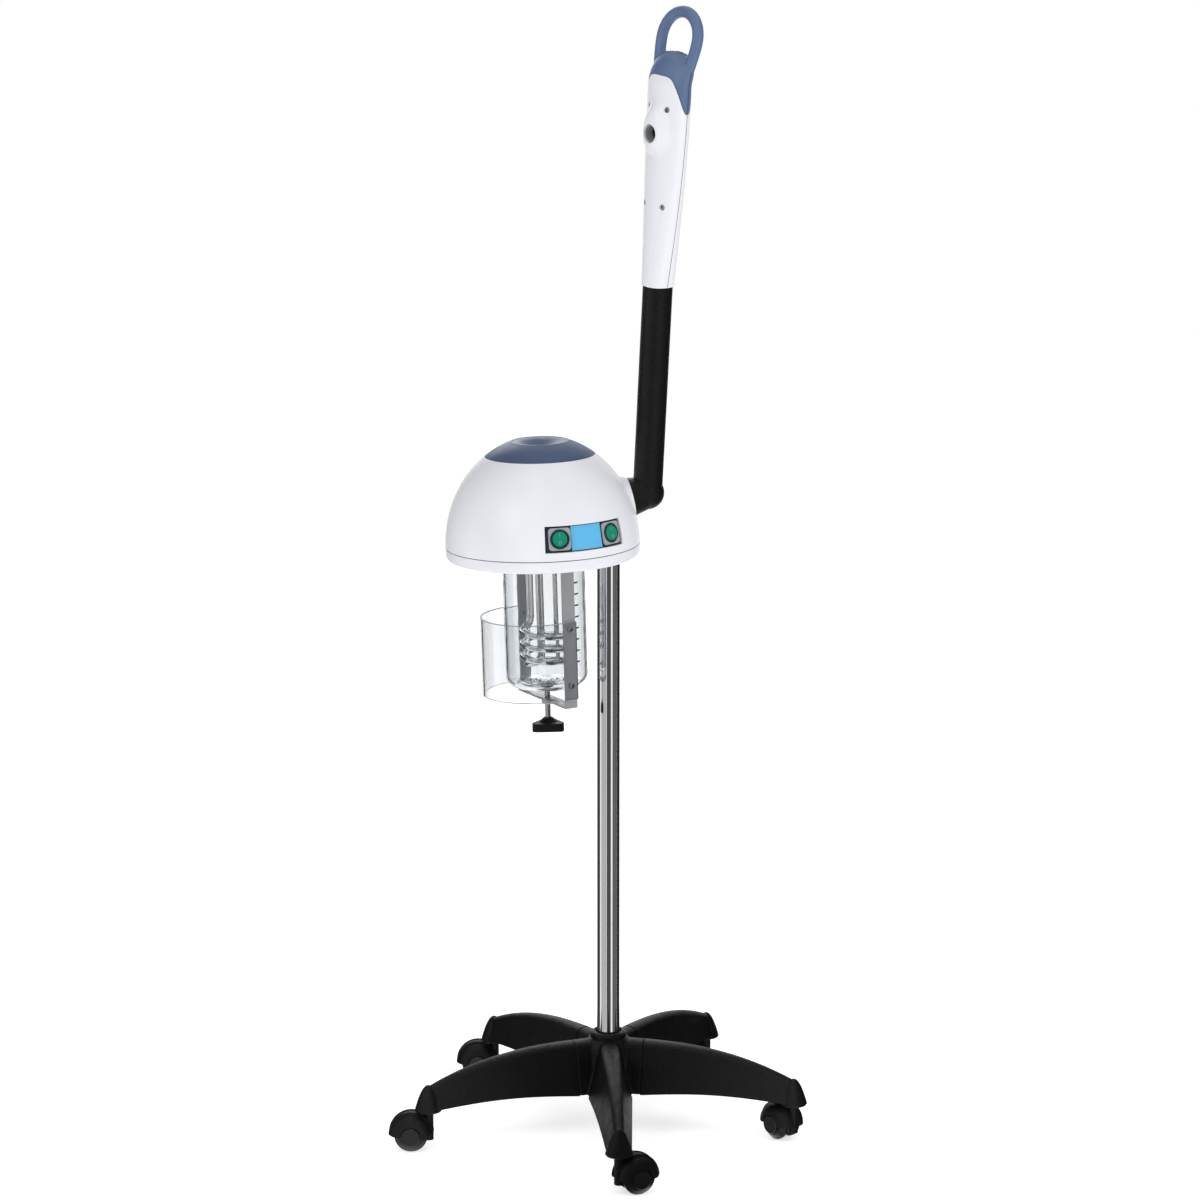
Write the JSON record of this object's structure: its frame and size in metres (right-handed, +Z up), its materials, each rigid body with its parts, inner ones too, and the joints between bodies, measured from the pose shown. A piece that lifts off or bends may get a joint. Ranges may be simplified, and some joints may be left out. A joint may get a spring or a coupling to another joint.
{
  "type": "facial steamer",
  "caption": "Standing facial steamer: a dome head with a clear water jar, a swinging steam arm and looped wand, on a chrome pole with a star base and twin-wheel casters.",
  "frame": {"origin": "on the floor under the axis of the pole", "axes": "+Z up, -Y towards the client, +X out of the control panel"},
  "size_m": [0.497, 0.4992, 1.3621],
  "materials": {
    "black_plastic": "fine grain",
    "dark_steel": "dulled",
    "chrome": "polished tube",
    "white_plastic": "satin",
    "blue_plastic": "satin",
    "panel_plastic": "satin",
    "grey_plastic": "satin",
    "green_plastic": "glossy",
    "glass": "clear",
    "silicone": "matte",
    "steel": "drawn",
    "pipe_plastic": "matte",
    "board": "lacquered",
    "lamp_glass": "frosted",
    "aluminium": "brushed",
    "clear_plastic": "clear",
    "rubber": "matte",
    "arm_plastic": "grained",
    "tyre": "matte"
  },
  "bodies": {
    "stand": {"base_hub": "black_plastic", "pole_collar": "black_plastic", "cord_gland": "black_plastic", "leg_1": "black_plastic", "leg_2": "black_plastic", "leg_3": "black_plastic", "leg_4": "black_plastic", "leg_5": "black_plastic", "leg_bolts": "dark_steel", "pole": "chrome", "bottom_cover": "white_plastic", "dome_shell": "white_plastic", "dome_cap": "blue_plastic", "control_panel": "panel_plastic", "switch_housings": "grey_plastic", "jar": "glass", "jar_gasket": "silicone", "heater_plate": "steel", "heater_coil": "steel", "level_probe": "steel", "guard_screws": "steel", "steam_duct": "pipe_plastic", "control_board": "board", "ozone_lamp": "lamp_glass", "yoke": "aluminium", "pole_socket": "aluminium", "guard": "clear_plastic"},
    "caster_1": {"caster_frame_1": "black_plastic", "caster_pins_1": "steel"},
    "wheel_1a": {"wheel_1a": "tyre"},
    "wheel_1b": {"wheel_1b": "tyre"},
    "caster_2": {"caster_frame_2": "black_plastic", "caster_pins_2": "steel"},
    "wheel_2a": {"wheel_2a": "tyre"},
    "wheel_2b": {"wheel_2b": "tyre"},
    "caster_3": {"caster_frame_3": "black_plastic", "caster_pins_3": "steel"},
    "wheel_3a": {"wheel_3a": "tyre"},
    "wheel_3b": {"wheel_3b": "tyre"},
    "caster_4": {"caster_frame_4": "black_plastic", "caster_pins_4": "steel"},
    "wheel_4a": {"wheel_4a": "tyre"},
    "wheel_4b": {"wheel_4b": "tyre"},
    "caster_5": {"caster_frame_5": "black_plastic", "caster_pins_5": "steel"},
    "wheel_5a": {"wheel_5a": "tyre"},
    "wheel_5b": {"wheel_5b": "tyre"},
    "arm": {"arm_tube": "arm_plastic", "arm_retainer": "grey_plastic"},
    "wand": {"steam_pipe": "pipe_plastic", "wand_front_shell": "white_plastic", "wand_rear_shell": "white_plastic", "wand_handle": "blue_plastic", "nozzle": "grey_plastic", "wand_screws": "dark_steel"},
    "rocker_steam": {"rocker_steam": "green_plastic"},
    "rocker_ozone": {"rocker_ozone": "green_plastic"},
    "clamp_pad": {"clamp_pad": "rubber"},
    "clamp_screw": {"clamp_screw": "steel", "clamp_knob": "black_plastic"}
  },
  "joints": [
    {"name": "caster_1_swivel", "type": "hinge", "parent": "stand", "child": "caster_1", "pos_m": [0.20942, -0.10214, 0.048], "axis": [0, 0, 1], "continuous": true},
    {"name": "wheel_1a_roll", "type": "hinge", "parent": "caster_1", "child": "wheel_1a", "pos_m": [0.21125, -0.08122, 0.02], "axis": [-0.9962, 0.0872, 0], "continuous": true},
    {"name": "wheel_1b_roll", "type": "hinge", "parent": "caster_1", "child": "wheel_1b", "pos_m": [0.21125, -0.08122, 0.02], "axis": [-0.9962, 0.0872, 0], "continuous": true},
    {"name": "caster_2_swivel", "type": "hinge", "parent": "stand", "child": "caster_2", "pos_m": [0.16185, 0.16761, 0.048], "axis": [0, 0, 1], "continuous": true},
    {"name": "wheel_2a_roll", "type": "hinge", "parent": "caster_2", "child": "wheel_2a", "pos_m": [0.14117, 0.16396, 0.02], "axis": [0.1736, -0.9848, 0], "continuous": true},
    {"name": "wheel_2b_roll", "type": "hinge", "parent": "caster_2", "child": "wheel_2b", "pos_m": [0.14117, 0.16396, 0.02], "axis": [0.1736, -0.9848, 0], "continuous": true},
    {"name": "caster_3_swivel", "type": "hinge", "parent": "stand", "child": "caster_3", "pos_m": [-0.10939, 0.20573, 0.048], "axis": [0, 0, 1], "continuous": true},
    {"name": "wheel_3a_roll", "type": "hinge", "parent": "caster_3", "child": "wheel_3a", "pos_m": [-0.1226, 0.18941, 0.02], "axis": [0.7771, -0.6293, 0], "continuous": true},
    {"name": "wheel_3b_roll", "type": "hinge", "parent": "caster_3", "child": "wheel_3b", "pos_m": [-0.1226, 0.18941, 0.02], "axis": [0.7771, -0.6293, 0], "continuous": true},
    {"name": "caster_4_swivel", "type": "hinge", "parent": "stand", "child": "caster_4", "pos_m": [-0.22946, -0.04046, 0.048], "axis": [0, 0, 1], "continuous": true},
    {"name": "wheel_4a_roll", "type": "hinge", "parent": "caster_4", "child": "wheel_4a", "pos_m": [-0.23964, -0.05883, 0.02], "axis": [0.8746, -0.4848, 0], "continuous": true},
    {"name": "wheel_4b_roll", "type": "hinge", "parent": "caster_4", "child": "wheel_4b", "pos_m": [-0.23964, -0.05883, 0.02], "axis": [0.8746, -0.4848, 0], "continuous": true},
    {"name": "caster_5_swivel", "type": "hinge", "parent": "stand", "child": "caster_5", "pos_m": [-0.03243, -0.23073, 0.048], "axis": [0, 0, 1], "continuous": true},
    {"name": "wheel_5a_roll", "type": "hinge", "parent": "caster_5", "child": "wheel_5a", "pos_m": [-0.04261, -0.2491, 0.02], "axis": [0.8746, -0.4848, 0], "continuous": true},
    {"name": "wheel_5b_roll", "type": "hinge", "parent": "caster_5", "child": "wheel_5b", "pos_m": [-0.04261, -0.2491, 0.02], "axis": [0.8746, -0.4848, 0], "continuous": true},
    {"name": "arm_swing", "type": "hinge", "parent": "stand", "child": "arm", "pos_m": [0.03572, 0.01024, 0.79014], "axis": [0.3273, 0.9178, 0.2249], "range_deg": [-80, 80]},
    {"name": "wand_turn", "type": "hinge", "parent": "arm", "child": "wand", "pos_m": [0.07466, 0.02366, 1.04301], "axis": [0.1287, -0.0216, 0.9914], "range_deg": [-160, 160]},
    {"name": "rocker_steam_tip", "type": "hinge", "parent": "stand", "child": "rocker_steam", "pos_m": [0.10504, -0.12288, 0.7608], "axis": [0.3007, 0.9532, 0.03], "range_deg": [0, 16]},
    {"name": "rocker_ozone_tip", "type": "hinge", "parent": "stand", "child": "rocker_ozone", "pos_m": [0.10504, -0.05668, 0.76288], "axis": [-0.3007, 0.9532, 0.03], "range_deg": [0, 16]},
    {"name": "clamp_slide", "type": "slide", "parent": "stand", "child": "clamp_pad", "axis": [0, 0.0314, -0.9995], "range_m": [0, 0.006]},
    {"name": "clamp_turn", "type": "hinge", "parent": "clamp_pad", "child": "clamp_screw", "pos_m": [0, -0.08332, 0.55609], "axis": [0, 0.0314, -0.9995], "range_deg": [0, 1441]}
  ],
  "couplings": [
    {"joint": "clamp_turn", "follows": "clamp_slide", "rad_per_m": 4188.8}
  ]
}
